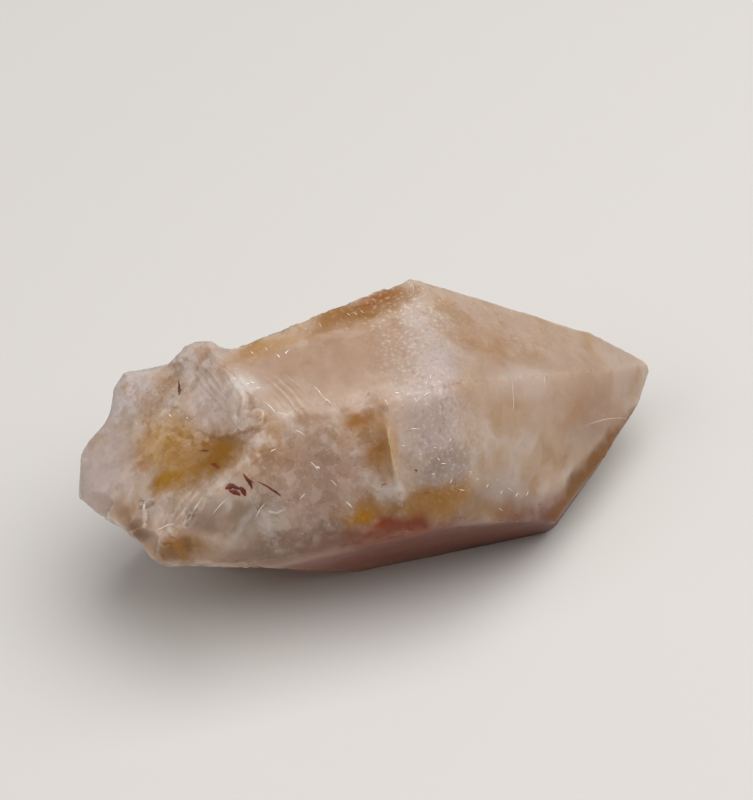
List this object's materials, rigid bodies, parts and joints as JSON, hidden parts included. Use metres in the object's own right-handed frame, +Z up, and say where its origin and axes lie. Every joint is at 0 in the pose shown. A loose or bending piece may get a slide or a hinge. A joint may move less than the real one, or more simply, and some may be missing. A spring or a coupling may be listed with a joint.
{
  "type": "citrine crystal point",
  "caption": "Natural milky citrine quartz crystal: stout hexagonal prism with a faceted tip at one end and a broken base, lying on a prism face.",
  "frame": {"origin": "middle of the underside of the bounding box, on the surface that the crystal rests on", "axes": "+X along the crystal's long axis towards the tip, +Z up, square to the prism face that it rests on"},
  "size_m": [0.0632, 0.0304, 0.027],
  "materials": {
    "citrine": "milky, translucent pale honey quartz, glossy growth faces and glassy breaks with ochre iron stain and white veils",
    "iron_oxide": "dark red-brown iron oxide needles and blades sealed in the quartz"
  },
  "bodies": {
    "root": {"crystal_point": "citrine"}
  },
  "joints": []
}
